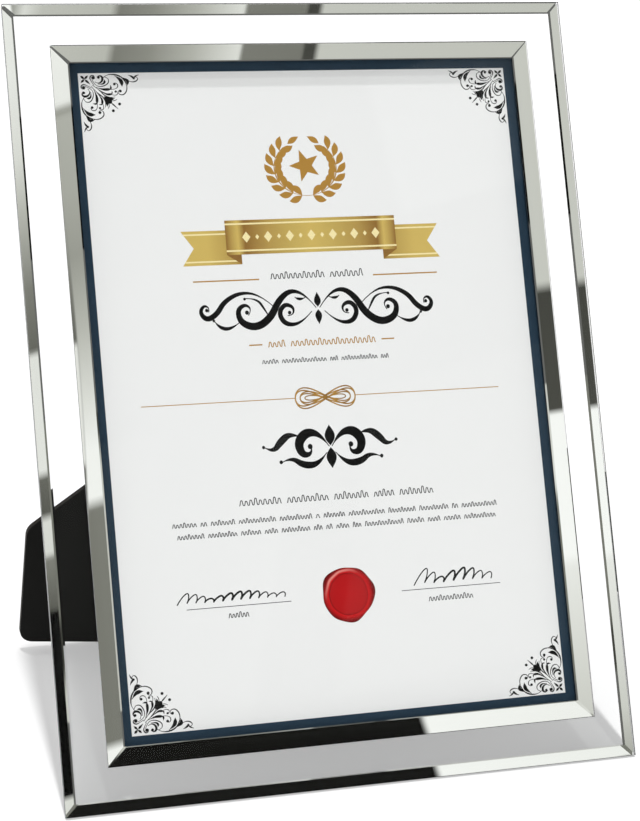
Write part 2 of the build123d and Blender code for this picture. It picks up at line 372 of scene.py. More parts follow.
def silvering(name, middle, colours):
    """Bright silver towards the glass, and a grey protective coat towards the back."""
    material, tree = new_material(name)
    front = maths(tree, "GREATER_THAN", apart(tree, on_board(tree))[2], middle)
    coat = place_group(tree, "fibres", {
        "Colour": rgba(colours.silver_back), "Fibre length": 0.8, "Mottle": 0.3, "Roughness": 0.55,
        "Height": 0.02})
    tone = blend_colours(tree, front, coat["Colour"], rgba(colours.silver))
    rough = times(tree, inverse(tree, front), coat["Roughness"])
    close(tree, principled(tree, {"Base Color": tone, "Metallic": front, "Roughness": rough}))
    return material


def metal(name, value, across, roughness, wear):
    material, tree = new_material(name)
    close_textured(tree, place_group(tree, "brushed", {
        "Colour": rgba(value), "Across": across, "Roughness": roughness, "Wear": wear}), {"Metallic": 1.0})
    return material


def fibrous(name, value, fibre, mottle, roughness, height, sheen=0.0, specular=0.5):
    material, tree = new_material(name)
    close_textured(tree, place_group(tree, "fibres", {
        "Colour": rgba(value), "Fibre length": fibre, "Mottle": mottle, "Roughness": roughness,
        "Height": height}), {"Sheen Weight": sheen, "Sheen Roughness": 0.5, "Specular IOR Level": specular})
    return material


def print_ink(name, value, roughness=0.55, specular=0.3):
    return fibrous(name, value, 0.4, 0.10, roughness, 0.01, specular=specular)


def gold_ink(name, stops, width, angle=0.0):
    """Gold print whose tone runs in soft bands across the ornament, width mm from its middle to its end."""
    material, tree = new_material(name)
    along = apart(tree, on_board(tree, angle=angle))[0]
    tone = ramp(tree, step(tree, along, -width, width, "LINEAR"), stops)
    close_textured(tree, place_group(tree, "fibres", {
        "Colour": tone, "Fibre length": 0.25, "Mottle": 0.08, "Roughness": 0.45, "Height": 0.01}))
    return material


# ---------------------------------------------------------------- mesh building
def finish_piece(name, shape, material):
    """Turns a bmesh drawn in millimetres on the board into a finished piece of the certificate."""
    bmesh.ops.transform(shape, matrix=BOARD, verts=shape.verts)
    bmesh.ops.recalc_face_normals(shape, faces=shape.faces)
    for face in shape.faces:
        face.smooth = False
    mesh = bpy.data.meshes.new(name)
    shape.to_mesh(mesh)
    shape.free()
    made = place_object(name, mesh)
    made.data.materials.append(material)
    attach(made, "certificate")


def dress(name, material):
    """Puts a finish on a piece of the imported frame."""
    mesh = frame["nodes"][name].data
    mesh.materials.clear()
    mesh.materials.append(material)


def move(shape, x=0.0, y=0.0, z=0.0, verts=None):
    bmesh.ops.translate(shape, vec=(x, y, z), verts=verts or shape.verts)


def stretch(shape, x, y, z=1.0, verts=None):
    bmesh.ops.scale(shape, vec=(x, y, z), verts=verts or shape.verts)


def lay(shape, layer, rise=0.25):
    """Lays a shape on the sheet as the given printed layer, raised by a share of the ink's thickness."""
    move(shape, z=SHEET_FRONT + layer * LAYER + rise * INK)
    return shape


def lay_flat(shape, layer):
    return lay(shape, layer, rise=-0.25)


def thicken(shape, faces):
    """Gives flat faces the thickness of the ink, as closed slabs."""
    lifted = bmesh.ops.extrude_face_region(shape, geom=faces)["geom"]
    move(shape, z=INK, verts=[part for part in lifted if isinstance(part, bmesh.types.BMVert)])


def slab_piece(name, outlines, layer, material):
    """A printed piece of closed slabs, each over a few corner points."""
    shape = bmesh.new()
    for corners in outlines:
        thicken(shape, [shape.faces.new([shape.verts.new((x, y, 0)) for x, y in corners])])
    finish_piece(name, lay_flat(shape, layer), material)


def bar(shape, x, y, width, height, thickness=INK):
    """Adds a closed bar centred on a point."""
    made = bmesh.ops.create_cube(shape, size=1.0)["verts"]
    stretch(shape, width, height, thickness, made)
    move(shape, x, y, thickness / 2, made)


def dot(shape, x, y, radius):
    """Adds a closed round dot."""
    made = bmesh.ops.create_cone(shape, cap_ends=True, segments=16, radius1=radius, radius2=radius, depth=INK)
    move(shape, x, y, INK / 2, made["verts"])


def brush_width(share, swell):
    """A pen stroke's width along its length: it grows up to the swell, then thins to its end."""
    if share < swell:
        return math.sin(math.pi / 2 * share / swell)
    return math.cos(math.pi / 2 * (share - swell) / (1 - swell))


def curve_shape(line):
    """A curve's mesh, as a bmesh. The curve itself is used up."""
    holder = bpy.data.objects.new("line", line)
    mesh = bpy.data.meshes.new_from_object(holder)
    shape = bmesh.new()
    shape.from_mesh(mesh)
    bpy.data.objects.remove(holder)
    bpy.data.curves.remove(line)
    bpy.data.meshes.remove(mesh)
    return shape


def smooth_places(points, steps):
    """Places along the smooth line that a few points steer."""
    line = bpy.data.curves.new("line", "CURVE")
    line.dimensions = "3D"
    spline = line.splines.new("NURBS")
    spline.points.add(len(points) - 1)
    for point, (x, y) in zip(spline.points, points):
        point.co = (x, y, 0, 1)
    spline.order_u, spline.use_endpoint_u = 3, True
    spline.resolution_u = max(4, steps // max(1, len(points) - 2))
    path = curve_shape(line)
    places = [(vertex.co.x, vertex.co.y) for vertex in path.verts]
    path.free()
    return places


PEN_FLATNESS = 0.02         # thickness of a pen stroke, as a share of its width
SMALLEST_STEP = 0.0005      # points of a stroke that lie closer than this are one


def pen_strokes(strokes, hair=0.13, steps=30, even=False):
    """Pen strokes as flattened closed tubes. A stroke is (points, width, swell). Its points steer a smooth
    line and its width swells and thins, but an even stroke goes through its points and keeps its width."""
    curve = bpy.data.curves.new("pen", "CURVE")
    curve.dimensions, curve.twist_mode = "3D", "Z_UP"
    for points, width, swell in strokes:
        places = points if even else smooth_places(points, steps)
        drawn = curve.splines.new("POLY")
        drawn.points.add(len(places) - 1)
        for number, (point, (x, y)) in enumerate(zip(drawn.points, places)):
            point.co = (x, y, 0, 1)
            share = 1.0 if even else brush_width(number / (len(places) - 1), swell)
            point.radius = max(hair, width / 2 * share)
    curve.bevel_depth, curve.bevel_resolution, curve.use_fill_caps = 1.0, 0, True
    shape = curve_shape(curve)
    bmesh.ops.remove_doubles(shape, verts=shape.verts, dist=SMALLEST_STEP)
    stretch(shape, 1, 1, PEN_FLATNESS)
    return shape


def mirrored(strokes):
    return [([(-x, y) for x, y in points], width, swell) for points, width, swell in strokes]


# ---------------------------------------------------------------- operators
class OBJECT_OT_finish_glass(bpy.types.Operator):
    """Clear glass on the two plates and silver on the strips behind their bevels"""
    bl_idname = "certificate_frame.finish_glass"
    bl_label = "Glass and silvering"

    def execute(self, context):
        colours = context.scene.frame_colours
        glass = clear_glass()
        outer = silvering("outer_silver", OUTER_SILVER_MIDDLE, colours)
        inner = silvering("inner_silver", INNER_SILVER_MIDDLE, colours)
        for name in ("outer_glass", "inner_glass"):
            dress(name, glass)
        for side in ("top", "bottom", "left", "right"):
            dress("outer_mirror_" + side, outer)
            dress("inner_mirror_" + side, inner)
        return {"FINISHED"}


class OBJECT_OT_finish_back(bpy.types.Operator):
    """Channels, hardboard, flock, hinge and rivets on the back"""
    bl_idname = "certificate_frame.finish_back"
    bl_label = "Back, leg and hinge"

    def execute(self, context):
        colours = context.scene.frame_colours
        upright = metal("channel_upright", colours.channel, (8.0, 0.12, 8.0), 0.30, 0.35)
        level = metal("channel_level", colours.channel, (0.12, 8.0, 8.0), 0.30, 0.35)
        hinge = metal("hinge_metal", colours.hinge, (0.3, 5.0, 5.0), 0.28, 0.5)
        rivet = metal("rivet_metal", colours.rivet, (2.0, 2.0, 2.0), 0.24, 0.6)
        board = fibrous("hardboard", colours.board, 0.9, 0.9, 0.8, 0.12)
        flock = fibrous("flock", colours.flock, 0.35, 1.1, 0.95, 0.35, sheen=0.06, specular=0.2)
        paper = fibrous("certificate_paper", colours.paper, 0.5, 0.03, 0.72, 0.02, specular=0.35)
        for material, *names in (
                (upright, "rail_side"), (level, "rail_top", "rail_bottom"),
                (hinge, "hinge_plate", "hinge_leaf", "hinge_pin"),
                (rivet, "hinge_plate_rivets", "hinge_leaf_rivets"), (board, "back_board", "leg_board"),
                (flock, "back_flock", "leg_flock_front", "leg_flock_back"), (paper, "certificate_sheet")):
            for name in names:
                dress(name, material)
        return {"FINISHED"}


class OBJECT_OT_print_border(bpy.types.Operator):
    """The printed border round the certificate, as far as the sheet's edge"""
    bl_idname = "certificate_frame.print_border"
    bl_label = "Border"

    margin = 0.05       # bare paper outside the ink

    def execute(self, context):
        sizes, colours = context.scene.print_sizes, context.scene.frame_colours
        shape = bmesh.new()
        bmesh.ops.create_grid(shape, x_segments=1, y_segments=1, size=1.0)
        half_width = SHEET_HIGH[0] - self.margin
        stretch(shape, half_width, SHEET_HIGH[1] - self.margin)
        width = half_width - (WINDOW_HALF_WIDTH - sizes.border / MM)
        bmesh.ops.inset_region(shape, faces=shape.faces[:], thickness=width, use_boundary=True,
                               use_even_offset=True)
        middle = [face for face in shape.faces if face.calc_center_median().length < 1e-3]
        bmesh.ops.delete(shape, geom=middle, context="FACES")
        thicken(shape, shape.faces[:])
        finish_piece("printed_border", lay_flat(shape, 0), print_ink("border_ink", colours.border))
        return {"FINISHED"}


# Corner scroll, in millimetres from the corner of the white sheet, x along the border's top and y down its
# side. Each stroke is drawn again with x and y changed over.
CORNER_STROKES = (
    (((6.6, 5.4), (5.6, 3.7), (5.0, 2.2), (5.8, 0.9), (7.3, 1.2), (7.2, 2.5)), 0.55, 0.5),
    (((5.9, 2.8), (7.0, 5.2), (8.8, 6.2), (11.2, 5.9), (13.2, 4.5), (13.2, 2.7), (12.2, 2.0), (11.3, 1.7)),
     0.45, 0.5),
    (((7.1, 3.9), (8.6, 4.9), (10.4, 3.8), (10.7, 1.9), (9.2, 0.9), (8.2, 1.8)), 1.0, 0.55),
    (((8.4, 5.0), (10.2, 5.2), (11.7, 4.2), (11.3, 3.0)), 0.95, 0.75),
    (((10.9, 2.1), (12.6, 0.8), (15.1, 0.6), (17.6, 1.1), (20.0, 2.8), (21.0, 5.0)), 0.65, 0.6),
    (((15.9, 1.2), (17.6, 2.4), (19.0, 4.0), (18.9, 6.3)), 1.7, 0.72),
    (((19.0, 2.2), (20.9, 4.6), (21.1, 7.8), (19.4, 10.2), (17.1, 9.8), (17.0, 8.0), (18.0, 7.8)), 0.5, 0.4),
    (((18.2, 1.8), (20.2, 2.8), (21.9, 3.9), (21.1, 5.9)), 1.4, 0.65),
    (((20.6, 3.0), (22.8, 4.3), (25.2, 4.1), (26.4, 2.6), (25.4, 2.0)), 0.5, 0.5),
    (((22.0, 1.1), (23.4, 1.4), (24.4, 2.7)), 0.9, 0.8),
    (((26.6, 1.0), (25.2, 1.3), (24.3, 2.5)), 0.7, 0.7),
    (((7.4, 6.4), (9.7, 7.3), (11.9, 7.6), (14.2, 7.3)), 1.2, 0.78),
    (((13.7, 7.5), (14.2, 6.8), (13.8, 5.6)), 0.8, 0.4),
    (((13.8, 7.5), (16.1, 7.5), (17.3, 5.9), (16.4, 4.3), (15.3, 4.8)), 0.4, 0.5),
    (((8.4, 7.4), (11.2, 9.4), (12.9, 9.9), (14.4, 9.5)), 1.0, 0.8),
    (((13.9, 9.7), (14.5, 9.2), (14.3, 8.3)), 0.6, 0.4),
    (((13.9, 9.8), (15.6, 10.4), (17.0, 9.5), (16.3, 8.3)), 0.36, 0.5),
    (((6.0, 5.4), (9.2, 8.0), (11.0, 10.4), (13.6, 11.3), (15.6, 10.9)), 0.5, 0.4),
    (((10.4, 9.6), (12.0, 11.0), (13.6, 12.0), (15.2, 11.7)), 1.5, 0.7),
    (((14.2, 12.7), (15.6, 12.6), (16.2, 12.0)), 0.35, 0.3),
    (((2.7, 2.7), (3.3, 2.1), (4.3, 1.1)), 1.0, 0.6),
)
# Strokes on the corner's diagonal, drawn once.
CORNER_MIDDLE = (
    (((10.6, 10.6), (12.2, 12.2), (13.9, 13.9)), 2.6, 0.7),
    (((13.6, 13.6), (15.0, 15.0), (16.4, 16.4)), 0.6, 0.3),
    (((2.7, 2.7), (2.0, 2.0), (1.1, 1.1)), 1.1, 0.6),
    (((2.9, 2.9), (3.8, 3.8), (5.0, 5.0)), 1.0, 0.35),
)
CORNER_BALLS = ((6.5, 2.1, 0.75), (8.9, 2.0, 0.6), (17.95, 8.3, 0.65), (24.3, 2.6, 0.5), (15.6, 5.1, 0.6),
                (15.9, 8.5, 0.5), (17.2, 14.2, 0.65))
CORNER_REACH, CORNER_SQUASH = 26.6, 0.96


class OBJECT_OT_print_corners(bpy.types.Operator):
    """A scroll of acanthus in each corner of the certificate"""
    bl_idname = "certificate_frame.print_corners"
    bl_label = "Corner scrolls"

    def execute(self, context):
        sizes, colours = context.scene.print_sizes, context.scene.frame_colours
        ink = print_ink("scroll_ink", colours.black)
        swapped = [([(y, x) for x, y in points], width, swell) for points, width, swell in CORNER_STROKES]
        scale = sizes.corner / MM / CORNER_REACH
        corner = (WINDOW_HALF_WIDTH - sizes.border / MM, WINDOW_HALF_HEIGHT - sizes.border / MM)
        for name, right, up in (("top_left", -1, 1), ("top_right", 1, 1), ("bottom_left", -1, -1),
                                ("bottom_right", 1, -1)):
            shape = pen_strokes([*CORNER_STROKES, *swapped, *CORNER_MIDDLE])
            for x, y, radius in CORNER_BALLS:
                for place in ((x, y), (y, x)):
                    dot(shape, *place, radius)
            stretch(shape, -right * scale, -up * scale * CORNER_SQUASH)
            move(shape, right * corner[0], up * corner[1])
            finish_piece("corner_scroll_" + name, lay(shape, 0), ink)
        return {"FINISHED"}


class OBJECT_OT_print_wreath(bpy.types.Operator):
    """A laurel wreath round a star, in gold"""
    bl_idname = "certificate_frame.print_wreath"
    bl_label = "Wreath and star"

    height, star_rise = 98.6, 1.0
    oval = 1.15                                         # width of the wreath over its height
    pairs, first, spacing, lean = 8, 10, 17.0, 0.55     # pairs of leaves, and their angles along the stem
    leaf_length, leaf_width = 0.52, 3.0
    tip = 2.62                                          # where the last leaf leaves the stem
    star_points, star_hollows = 0.60, 0.25

    def execute(self, context):
        sizes, colours = context.scene.print_sizes, context.scene.frame_colours
        radius = sizes.wreath / MM
        gold = gold_ink("wreath_gold", alternating((0.0, 0.3, 0.44, 0.6, 0.8, 1.0), colours.gold_dark,
                                                   colours.gold_light), 19.0, math.radians(-25))

        def on_stem(angle):
            return -radius * self.oval * math.sin(angle), -radius * math.cos(angle)

        def away(place, size, heading):
            return place[0] + size * math.cos(heading), place[1] + size * math.sin(heading)

        strokes = [([on_stem(math.radians(degrees)) for degrees in range(-4, 152, 12)], 0.55, 0.5)]
        size = radius * self.leaf_length
        for number in range(self.pairs):
            angle = math.radians(self.first + self.spacing * number)
            root, heading = on_stem(angle), math.pi - angle
            for lean in (self.lean, -self.lean):
                strokes.append(([root, away(root, size * 0.6, heading + 1.5 * lean),
                                 away(root, size, heading + lean)], self.leaf_width, 0.5))
        last = [on_stem(self.tip), (-radius * 0.42, radius), (-radius * 0.16, radius * 1.12)]
        strokes.append((last, 2.6, 0.5))
        wreath = pen_strokes(strokes + mirrored(strokes), hair=0.1, steps=12)
        move(wreath, y=self.height)
        finish_piece("laurel_wreath", lay(wreath, 0), gold)
        star = bmesh.new()
        points = bmesh.ops.create_circle(star, cap_ends=True, segments=10, radius=1.0)["verts"]
        for number, vertex in enumerate(points):
            vertex.co *= radius * (self.star_points, self.star_hollows)[number % 2]
        bmesh.ops.rotate(star, verts=star.verts, matrix=Matrix.Rotation(math.radians(90), 3, "Z"))
        thicken(star, star.faces[:])
        move(star, y=self.height + self.star_rise)
        finish_piece("wreath_star", lay_flat(star, 0), gold)
        return {"FINISHED"}


class OBJECT_OT_print_ribbon(bpy.types.Operator):
    """A folded gold ribbon with swallow tails and pale edge lines"""
    bl_idname = "certificate_frame.print_ribbon"
    bl_label = "Ribbon"

    top, bottom, drop = 76.0, 60.7, 4.3
    tail_end, notch, fold_width = 59.6, 5.4, 6.6
    tail_line, front_line = 1.6, 1.7            # from an edge of the ribbon to the middle of its pale line
    tail_line_width, front_line_width = 0.7, 0.75
    lozenge_pitch, lozenge_shape = 5.0, 1.3
    lozenge_widths = (1.9, 0.9)                 # half widths, large and small in turn

    def execute(self, context):
        sizes, colours = context.scene.print_sizes, context.scene.frame_colours
        half = sizes.ribbon / MM
        light, dark = Vector(colours.ribbon_light), Vector(colours.ribbon_dark)
        shade, middle_tone = dark * 0.7, (light + dark) / 2
        front = gold_ink("ribbon_gold", (
            (0.0, dark), (0.03, middle_tone), (0.07, light), (0.11, dark), (0.24, middle_tone),
            (0.4, light * 0.9), (0.5, light), (0.6, light * 0.9), (0.78, middle_tone), (0.89, dark),
            (0.93, light), (0.97, middle_tone), (1.0, dark)), half)
        tails = gold_ink("tail_gold", (
            (0.0, light), (0.1, light), (0.2, middle_tone), (0.26, dark), (0.5, shade), (0.74, dark),
            (0.8, middle_tone), (0.9, light), (1.0, light)), self.tail_end)
        pale = gold_ink("ribbon_line_gold", alternating((0.0, 1.0), colours.gold_pale), half)
        under = gold_ink("fold_gold", alternating((0.0, 0.5, 1.0), dark, shade), half)
        low, high = self.bottom - self.drop, self.top - self.drop
        for name, side in (("left", -1), ("right", 1)):
            inner, outer = side * (half - self.fold_width), side * self.tail_end
            tail = ((inner, low), (outer, low), (outer - side * self.notch, (low + high) / 2), (outer, high),
                    (inner, high))
            slab_piece("ribbon_tail_" + name, [tail], 0, tails)
            lines = bmesh.new()
            end = outer - side * self.tail_line * self.notch / ((high - low) / 2)
            for y in (low + self.tail_line, high - self.tail_line):
                bar(lines, (inner + end) / 2, y, abs(end - inner), self.tail_line_width)
            finish_piece("tail_lines_" + name, lay_flat(lines, 1), pale)
            fold = ((inner, low), (side * half, self.bottom), (inner, self.bottom))
            slab_piece("ribbon_fold_" + name, [fold], 2, under)
        panel = ((-half, self.bottom), (half, self.bottom), (half, self.top), (-half, self.top))
        slab_piece("ribbon_front", [panel], 3, front)
        lines = bmesh.new()
        for y in (self.bottom + self.front_line, self.top - self.front_line):
            bar(lines, 0, y, 2 * half, self.front_line_width)
        finish_piece("ribbon_lines", lay_flat(lines, 4), pale)
        middle = (self.top + self.bottom) / 2
        marks = []
        for number in range(-6, 7):
            x, wide = number * self.lozenge_pitch, self.lozenge_widths[number % 2]
            tall = wide * self.lozenge_shape
            marks.append(((x - wide, middle), (x, middle - tall), (x + wide, middle), (x, middle + tall)))
        slab_piece("ribbon_lozenges", marks, 4, pale)
        return {"FINISHED"}


# Black flourish, right half, in millimetres from its middle.
FLOURISH_STROKES = (
    (((0.8, 0.2), (5, 5.6), (12, 8.2), (18, 4.0), (22, -3.0), (29, -7.2), (36, -5.0), (37.5, 0.5),
      (33.5, 3.0), (30.6, 0.6), (32.4, -1.8)), 2.5, 0.42),
    (((20.0, 1.0), (26, 6.4), (35, 8.0), (43, 4.4), (46.5, -0.6), (51.5, -3.2), (54.5, 0.2), (52.4, 3.2),
      (49.8, 2.0), (50.4, 0.2)), 1.8, 0.45),
    (((3.0, -1.2), (8, -6.0), (15.5, -6.6), (18.6, -1.6), (15.4, 2.4), (11.2, 0.8), (11.8, -2.6),
      (14.4, -2.6)), 1.7, 0.35),
    (((22, -4.4), (24.6, 0.2), (28.0, 5.2), (33.4, 5.2)), 0.8, 0.5),
    (((36.6, -4.4), (41, -7.4), (46.5, -6.2), (48.2, -3.4)), 1.2, 0.5),
    (((5.6, 4.6), (8.6, 3.4), (10.4, 5.0)), 0.9, 0.5),
)
FLOURISH_MIDDLE = (
    (((0, 6.6), (0, 3.0), (0, 0.6)), 2.4, 0.55),
    (((0, -6.6), (0, -3.0), (0, -0.6)), 2.4, 0.55),
)
FLOURISH_BALLS = ((33.0, -0.6, 0.9), (51.2, 1.0, 0.75), (13.4, -1.4, 0.8), (48.4, -3.4, 0.6),
                  (33.6, 5.0, 0.6))
FLOURISH_REACH = 54.5
ORNAMENT_SHAPE = 1.08       # the ornaments are drawn this much flatter than they are printed


def flourish(strokes, middle, balls, scale, height, weight):
    """An ornament made from its right half, its middle strokes and its balls, with all strokes weighted."""
    strokes = [(points, width * weight, swell) for points, width, swell in strokes + middle]
    shape = pen_strokes(strokes + mirrored(strokes[:-len(middle)]), hair=0.2)
    for x, y, radius in balls:
        for side in (-1, 1):
            dot(shape, side * x, y, radius)
    stretch(shape, scale, scale * ORNAMENT_SHAPE)
    move(shape, y=height)
    return lay(shape, 0)


# The smaller ornament below the divider, right half.
FLEURON_STROKES = (
    (((0.6, 0.0), (4.0, 5.0), (10.5, 6.6), (15.0, 2.2), (13.2, -3.0), (8.6, -2.6), (8.8, 0.8)), 3.8, 0.42),
    (((13.4, 4.6), (18.0, 6.2), (22.4, 3.4), (26.6, -1.2), (30.6, 1.4)), 2.8, 0.45),
    (((2.0, -2.4), (6.0, -7.0), (13.0, -7.2), (18.5, -3.4), (23.0, -5.4)), 2.6, 0.42),
)
FLEURON_MIDDLE = (
    (((0, 8.8), (0, 4.0), (0, 0.4)), 4.2, 0.5),
    (((0, -8.8), (0, -4.0), (0, -0.4)), 4.2, 0.5),
)
FLEURON_BALLS = ((9.4, 0.4, 1.1), (23.2, -5.2, 0.8), (30.6, 1.2, 0.7))


class OBJECT_OT_print_flourishes(bpy.types.Operator):
    """The black flourish below the ribbon, and the smaller ornament below the divider"""
    bl_idname = "certificate_frame.print_flourishes"
    bl_label = "Black flourishes"

    def execute(self, context):
        sizes, colours = context.scene.print_sizes, context.scene.frame_colours
        ink = print_ink("flourish_ink", colours.black)
        scale = sizes.flourish / MM / FLOURISH_REACH
        large = flourish(FLOURISH_STROKES, FLOURISH_MIDDLE, FLOURISH_BALLS, scale, 35.6, 1.3)
        finish_piece("title_flourish", large, ink)
        fleuron = flourish(FLEURON_STROKES, FLEURON_MIDDLE, FLEURON_BALLS, 1.0, -25.8, 1.1)
        finish_piece("fleuron", fleuron, ink)
        return {"FINISHED"}


# Rippled rows: how tall each ripple is, points in a ripple, how upright its sides are, and each style's
# height, gap between its lines, pitch of its ripples and width of its pen.
RIPPLES = (1.0, 0.82, 1.0, 1.32, 0.9, 1.0, 0.85, 1.25, 1.0, 0.92, 1.38)
RIPPLE_STEPS = 12
RIPPLE_SIDES = 2.4
TALL = (2.2, 2.4, 2.1, 0.42)
BOLD = (2.1, 2.4, 2.1, 0.46)
SMALL = (1.5, 1.6, 1.5, 0.38)
TINY = (1.4, 1.5, 1.45, 0.36)
CLOSE = (1.7, 1.0, 1.6, 0.38)


def rippled_row(y, start, end, lengths, style):
    """A row of small rippled pen lines, with lengths in the given proportions."""
    height, gap, pitch, width = style
    unit = (end - start - gap * (len(lengths) - 1)) / sum(lengths)
    strokes = []
    x = start
    for turn, size in enumerate(lengths):
        points = RIPPLE_STEPS * max(1, round(size * unit / pitch))
        line = []
        for number in range(points + 1):
            tall = RIPPLES[(number // RIPPLE_STEPS + 4 * turn) % len(RIPPLES)]
            rise = 0.5 - 0.5 * math.tanh(RIPPLE_SIDES * math.cos(2 * math.pi * number / RIPPLE_STEPS))
            line.append((x + size * unit * number / points, y + height * (rise * tall - 0.5)))
        strokes.append((line, width, 0.5))
        x += size * unit + gap
    return strokes


class OBJECT_OT_print_lines(bpy.types.Operator):
    """Thin rules, and rows of small rippled lines"""
    bl_idname = "certificate_frame.print_lines"
    bl_label = "Rules and rippled lines"

    # Height on the sheet, both ends, and the lengths of the lines in each row.
    rows = (
        (50.5, -20.6, 22.4, (8, 5), TALL),
        (12.8, -27.8, 30.8, (4, 11, 2, 9, 2), TINY),
        (-48.0, -43.8, 45.8, (6, 6, 5, 3, 5), TALL),
        (-55.9, -74.3, 75.2, (11, 3, 11, 17, 15, 2, 10, 17, 13, 14, 3, 17), SMALL),
        (-61.0, -72.5, 74.2, (12, 13, 9, 6, 13, 4, 3, 6, 4, 18, 8, 6, 8, 15), SMALL),
        (-95.8, -52.8, -43.6, (1,), CLOSE),
        (-96.0, 38.8, 59.8, (1,), CLOSE),
    )
    gold_row = (20.4, -24.4, 25.4, (2, 10), BOLD)
    # Middle, width and height of each rule.
    rules = ((-47.6, -91.8, 46.8, 0.3), (49.9, -91.4, 46.6, 0.3))
    gold_rules = ((-40.8, 49.4, 30.0, 0.6), (42.2, 49.4, 30.4, 0.6), (-30.0, 20.5, 6.0, 0.6),
                  (31.2, 20.5, 6.0, 0.6), (-49.0, -3.8, 69.0, 0.36), (47.4, -3.8, 68.4, 0.36))

    def execute(self, context):
        colours = context.scene.frame_colours
        ink = print_ink("line_ink", colours.line)
        gold = gold_ink("rule_gold", alternating((0.0, 1.0), colours.gold_dark), 60.0)
        for name, rows, rules, material in (("text_lines", self.rows, self.rules, ink),
                                            ("gold_rules", (self.gold_row,), self.gold_rules, gold)):
            strokes = [stroke for row in rows for stroke in rippled_row(*row)]
            shape = pen_strokes(strokes, hair=0.1, even=True)
            for rule in rules:
                bar(shape, *rule, thickness=0.25 * INK)
            finish_piece(name, lay(shape, 0), material)
        return {"FINISHED"}


class OBJECT_OT_print_knot(bpy.types.Operator):
    """The interlaced gold loops in the middle of the divider"""
    bl_idname = "certificate_frame.print_knot"
    bl_label = "Divider knot"

    middle = (-0.4, -4.0)
    # Half width, half height, offset and pen width of each strand.
    strands = ((13.8, 4.0, 0.8, 0.6), (13.8, 4.0, -0.8, 0.6), (11.6, 2.4, 0.6, 0.55), (11.6, 2.4, -0.6, 0.55),
               (9.4, 1.0, 0.0, 0.5))

    def execute(self, context):
        colours = context.scene.frame_colours
        gold = gold_ink("knot_gold", alternating((0.0, 0.2, 0.38, 0.5, 0.62, 0.8, 1.0), colours.gold_dark,
                                                 colours.ribbon_dark), 14.0)
        strokes = [([(wide * math.sin(a), tall * math.sin(2 * a) + part * math.cos(a))
                     for a in (math.radians(d) for d in range(0, 361, 5))], width, 0.5)
                   for wide, tall, part, width in self.strands]
        shape = pen_strokes(strokes, hair=0.1, even=True)
        move(shape, *self.middle)
        finish_piece("divider_knot", lay(shape, 0), gold)
        return {"FINISHED"}


def scribble(start, end, height, loops):
    """One pen line of slanted loops, tall at first and settling down."""
    reach = (end[0] - start[0], end[1] - start[1])
    line = []
    for number in range(loops * 4 + 1):
        share, phase = number / (loops * 4), number * math.pi / 2
        size = height * (0.35 + 0.65 * abs(math.cos(share * 5.2)) * (1 - 0.55 * share))
        rise = size * 0.5 * (1 - math.cos(phase))
        back = 0.6 * rise - 0.9 * math.sin(phase)
        line.append((start[0] + reach[0] * share + back, start[1] + reach[1] * share + rise))
    return line


class OBJECT_OT_print_pen_marks(bpy.types.Operator):
    """Loops of a pen above the two rules at the foot"""
    bl_idname = "certificate_frame.print_pen_marks"
    bl_label = "Pen marks"

    # Start, end, height and number of loops.
    marks = (("date_scribble", (-75.0, -89.6), (-27.0, -89.6), 5.6, 12),
             ("signature_scribble", (32.5, -89.6), (69.0, -89.2), 8.6, 8))

    def execute(self, context):
        colours = context.scene.frame_colours
        ink = print_ink("pen_ink", colours.black, roughness=0.5, specular=0.4)
        for name, *mark in self.marks:
            line = scribble(*mark)
            shape = pen_strokes([(line, 0.9, 0.5)], hair=0.26, steps=len(line) * 6)
            finish_piece(name, lay(shape, 0), ink)
        return {"FINISHED"}


class OBJECT_OT_print_seal(bpy.types.Operator):
    """The red wax seal, with an uneven rim round a pressed disc"""
    bl_idname = "certificate_frame.print_seal"
    bl_label = "Wax seal"

    place = (1.9, -90.8)
    waves = ((3, 0.6, 0.035), (5, 2.0, 0.022), (8, 0.0, 0.012))     # of its edge: number, turn and height
    rings = ((0.0, 1.05), (0.70, 0.95), (0.735, 0.45), (0.77, 1.25), (0.86, 1.0), (0.93, 0.55), (1.0, 0.3))
    shine = (1.0, 0.42, 0.36, 1)

    def execute(self, context):
        sizes, colours = context.scene.print_sizes, context.scene.frame_colours
        radius = sizes.seal / MM
        shape = bmesh.new()
        edge = bmesh.ops.create_circle(shape, cap_ends=True, segments=72, radius=1.0)["verts"]
        for vertex in edge:
            angle = math.atan2(vertex.co.y, vertex.co.x)
            swing = sum(height * math.sin(number * angle + turn) for number, turn, height in self.waves)
            vertex.co *= radius * (1 + swing)
        thicken(shape, shape.faces[:])
        move(shape, *self.place)
        finish_piece("wax_seal", lay_flat(shape, 0), self.wax(colours, radius))
        return {"FINISHED"}

    def wax(self, colours, radius):
        """Red in rings, from the pressed disc to the thick rim, which shines on its upper left."""
        material, tree = new_material("printed_wax")
        place = on_board(tree, self.place)
        x, y, _ = apart(tree, place)
        flat = maths(tree, "SQRT", plus(tree, times(tree, x, x), times(tree, y, y)))
        wobble = times(tree, minus(tree, noise(tree, place, 0.12, 1.0), 0.5), 0.12)
        share = plus(tree, maths(tree, "DIVIDE", flat, radius), wobble)
        red = Vector(colours.wax)
        rings = ramp(tree, share, [(edge, red * level) for edge, level in self.rings])
        lit = step(tree, plus(tree, y, times(tree, x, -0.7)), radius * 0.3, radius * 1.3)
        rim = times(tree, step(tree, share, 0.78, 0.84), inverse(tree, step(tree, share, 0.86, 0.92)))
        tone = blend_colours(tree, times(tree, times(tree, lit, rim), 0.7), rings, self.shine)
        close(tree, principled(tree, {"Base Color": tone, "Roughness": 0.4, "Specular IOR Level": 0.25}))
        return material


